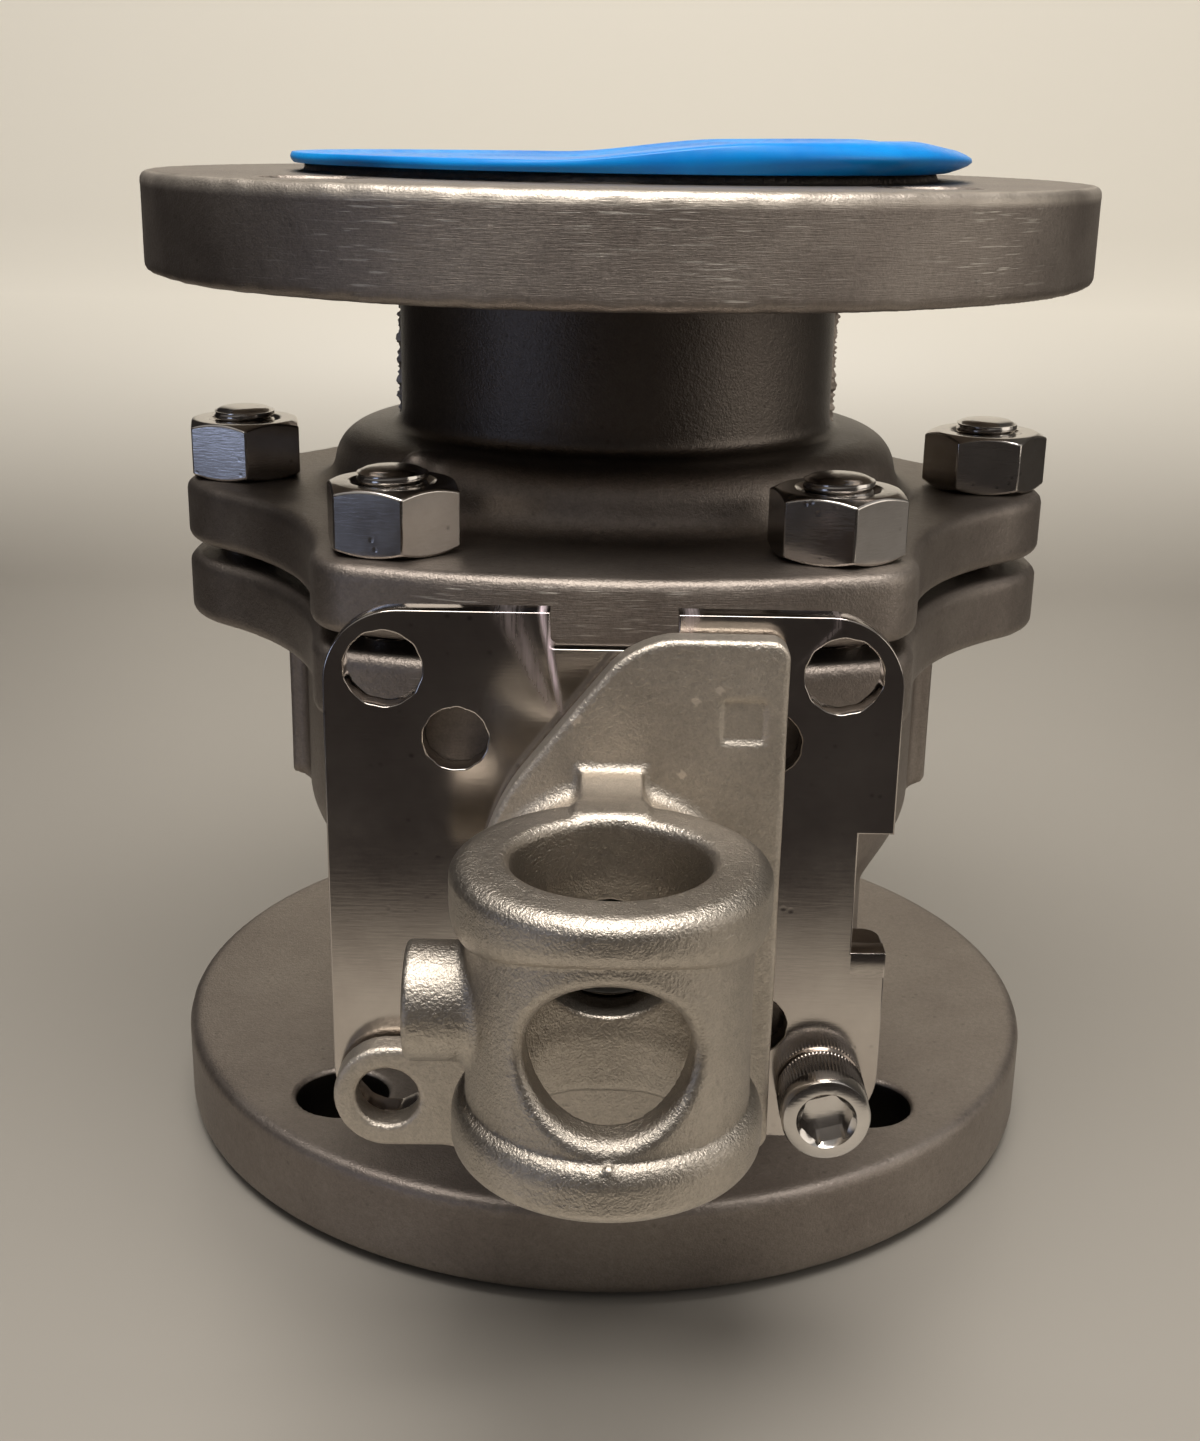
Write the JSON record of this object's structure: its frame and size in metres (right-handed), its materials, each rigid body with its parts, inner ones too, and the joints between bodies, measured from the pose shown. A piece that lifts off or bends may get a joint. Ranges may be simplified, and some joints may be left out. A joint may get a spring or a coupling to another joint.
{
  "type": "flanged ball valve",
  "caption": "Two-piece full-bore flanged ball valve with a lever socket head, stop plate and a plastic cover on the upper flange.",
  "frame": {"origin": "centre of the lower flange's raised sealing face, on the flow axis", "axes": "+Z is the flow axis, upwards; -Y is the stem axis, towards the lever; +X is to the right seen from the lever"},
  "size_m": [0.1906, 0.2727, 0.2093],
  "materials": {
    "cast_body": "satin bead-blasted casting",
    "blasted_casting": "bright pitted casting",
    "bright_steel": "bright",
    "polished_plate": "polished sheet",
    "machined_steel": "turned",
    "polished_ball": "polished",
    "black_steel": "black oxide",
    "seal": "smooth",
    "packing": "graphite",
    "blue_plastic": "glossy moulded"
  },
  "bodies": {
    "valve": {"main_body": "cast_body", "end_cap": "cast_body", "body_gasket": "seal", "lower_seat": "seal", "upper_seat": "seal", "joint_studs": "bright_steel", "joint_nuts": "bright_steel", "stem_thrust_washer": "seal", "stem_packing": "packing", "gland_follower": "machined_steel", "stop_plate": "polished_plate", "plate_screws": "bright_steel", "stop_screw": "bright_steel", "stop_screw_nut": "bright_steel"},
    "lever": {"stem": "machined_steel", "disc_springs": "machined_steel", "stem_nut": "bright_steel", "nut_lock_washer": "machined_steel", "lever_head": "blasted_casting", "lever_bolt": "bright_steel", "lever_washer": "bright_steel", "handle_set_screw": "black_steel"},
    "ball": {"ball": "polished_ball"},
    "cover": {"flange_cover": "blue_plastic"}
  },
  "joints": [
    {"name": "lever_turn", "type": "hinge", "parent": "valve", "child": "lever", "pos_m": [0, -0.115, 0.0938], "axis": [0, 1, 0], "range_deg": [0, 90]},
    {"name": "ball_turn", "type": "hinge", "parent": "valve", "child": "ball", "pos_m": [0, 0, 0.0938], "axis": [0, 1, 0], "range_deg": [0, 90]},
    {"name": "cover_lift", "type": "slide", "parent": "valve", "child": "cover", "axis": [0, 0, 1], "range_m": [0, 0.05]}
  ],
  "couplings": [
    {"joint": "ball_turn", "follows": "lever_turn", "ratio": 1}
  ]
}
